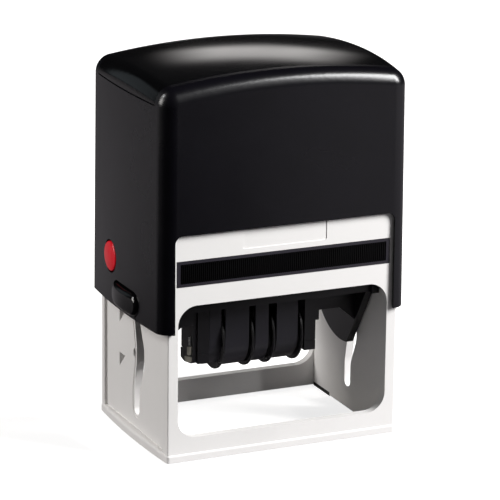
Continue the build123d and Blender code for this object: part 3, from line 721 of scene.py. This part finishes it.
def make_foam():
    """The foam under the tray, in place of its plain solid."""
    low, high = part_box("ink_pad")
    form = bmesh.new()
    bmesh.ops.create_cube(form, size=1.0)
    bmesh.ops.scale(form, vec=high - low, verts=form.verts)
    bmesh.ops.translate(form, vec=(high + low) / 2, verts=form.verts)
    bmesh.ops.bevel(
        form,
        geom=form.edges[:],
        offset=FOAM_ROUND,
        segments=FOAM_SEGMENTS,
        profile=0.5,
        affect="EDGES",
    )
    foam = link_mesh("foam", form, INK_FOAM)
    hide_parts("ink_pad")
    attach(foam, "pad")
    return foam


foam = make_foam()
print("foam", [round(v * 1000, 1) for v in foam.dimensions], "mm")

# %% [markdown]
# ## The detent
# A small coil and two grey plates sit on the outer face of the left bracket, where they hold the wheels
# at their figures. The photograph shows them as the only pale spots on the print unit.

# %% The detent's plates
DETENT_GREY = finish("detent grey plastic", ((0.25, 0.24, 0.2), (0.31, 0.295, 0.25)), 0.4, 0.6)
MILLIMETRE = 0.001
BRACKET_FACE = -0.0233
PLATE_THICKNESS = 0.0003
PLATE_SUNK = 0.00005
PLATE_ROUND = 0.0001
PLATE_SEGMENTS = 2
LEVER_CORNERS = [(-5.93, 30.0), (-9.0, 31.0), (-8.84, 28.4), (-7.5, 27.6), (-5.96, 27.5)]
FOOT_CORNERS = [(-3.9, 26.4), (-9.2, 27.7), (-9.4, 26.3), (-8.3, 25.5), (-4.4, 24.8)]


def detent_plate(name, corners):
    """A thin plate on the bracket, from its corners in y and z in millimetres."""
    form = bmesh.new()
    layers = []
    for x in (BRACKET_FACE - PLATE_THICKNESS, BRACKET_FACE + PLATE_SUNK):
        layers.append([form.verts.new((x, y * MILLIMETRE, z * MILLIMETRE)) for y, z in corners])
    form.faces.new(layers[0])
    form.faces.new(layers[1][::-1])
    join_rings(form, layers, closed=False)
    bmesh.ops.recalc_face_normals(form, faces=form.faces)
    bmesh.ops.bevel(
        form,
        geom=form.edges[:],
        offset=PLATE_ROUND,
        segments=PLATE_SEGMENTS,
        profile=0.5,
        affect="EDGES",
    )
    plate = link_mesh(name, form, DETENT_GREY, smooth=False)
    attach(plate, "die")
    return plate


plates = [detent_plate("detent_lever", LEVER_CORNERS), detent_plate("detent_foot", FOOT_CORNERS)]
print(len(plates), "detent plates")

# %% [markdown]
# Both the detent's coil and the stamp's return springs are round wire on a steady rise. A curve with a
# bevel would do, but its ends can't be set flat on what they stand on, so the rings of the wire are laid
# out one by one and joined.

# %% A wound wire
WIRE_STEPS = 24
WIRE_SIDES = 10


def wound_wire(name, middle, foot, top, coil_radius, wire_radius, turns):
    """Round steel wire wound upwards from foot to top, about an upright line at middle."""
    form = bmesh.new()
    steps = turns * WIRE_STEPS
    rings = []
    for step in range(steps + 1):
        angle = 2 * math.pi * step / WIRE_STEPS
        height = foot + wire_radius + (top - foot - 2 * wire_radius) * step / steps
        ring = []
        for side in range(WIRE_SIDES):
            turn = 2 * math.pi * side / WIRE_SIDES
            reach = coil_radius + wire_radius * math.cos(turn)
            x = middle[0] + reach * math.cos(angle)
            y = middle[1] + reach * math.sin(angle)
            ring.append(form.verts.new((x, y, height + wire_radius * math.sin(turn))))
        rings.append(ring)
    join_rings(form, rings, closed=False)
    form.faces.new(rings[0][::-1])
    form.faces.new(rings[-1])
    bmesh.ops.recalc_face_normals(form, faces=form.faces)
    wire = link_mesh(name, form, STEEL)
    return wire


print("wire of", WIRE_SIDES, "sides,", WIRE_STEPS, "steps to a turn")

# %% The detent's coil
COIL_MIDDLE = (-0.02365, -0.0082)
COIL_FOOT = 0.0311
COIL_TOP = 0.0341
COIL_RADIUS = 0.00035
COIL_WIRE_RADIUS = 0.00011
COIL_TURNS = 6

coil = wound_wire(
    "detent_coil", COIL_MIDDLE, COIL_FOOT, COIL_TOP, COIL_RADIUS, COIL_WIRE_RADIUS, COIL_TURNS
)
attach(coil, "die")
print("coil", [round(v * 1000, 1) for v in coil.dimensions], "mm")

# %% [markdown]
# ## The return springs
# Two long coils lift the cover again. Steel wire keeps its length, so a real coil closes up as the cover
# comes down. Here each one stands on the deck, and the share of its length that the cover's travel
# leaves it is worked out and printed.

# %% The two springs
SPRING_WIRE_RADIUS = 0.0004
SPRING_TURNS = 10
COVER_TRAVEL = 0.034
SPRING_SLACK = 0.0002


def make_spring(side):
    """A coil between the deck and the cover, in place of its plain solid."""
    node = f"return_spring_{side}"
    low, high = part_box(node)
    middle = (low + high) / 2
    radius = (high.x - low.x) / 2 - SPRING_WIRE_RADIUS
    spring = wound_wire(
        f"coil_spring_{side}", middle, low.z, high.z, radius, SPRING_WIRE_RADIUS, SPRING_TURNS
    )
    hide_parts(node)
    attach(spring, "base")
    length = high.z - low.z
    left_over = (length - COVER_TRAVEL - SPRING_SLACK) / length
    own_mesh(spring)
    return left_over


for side in ("left", "right"):
    print("spring", side, "keeps", round(make_spring(side), 3), "of its length")
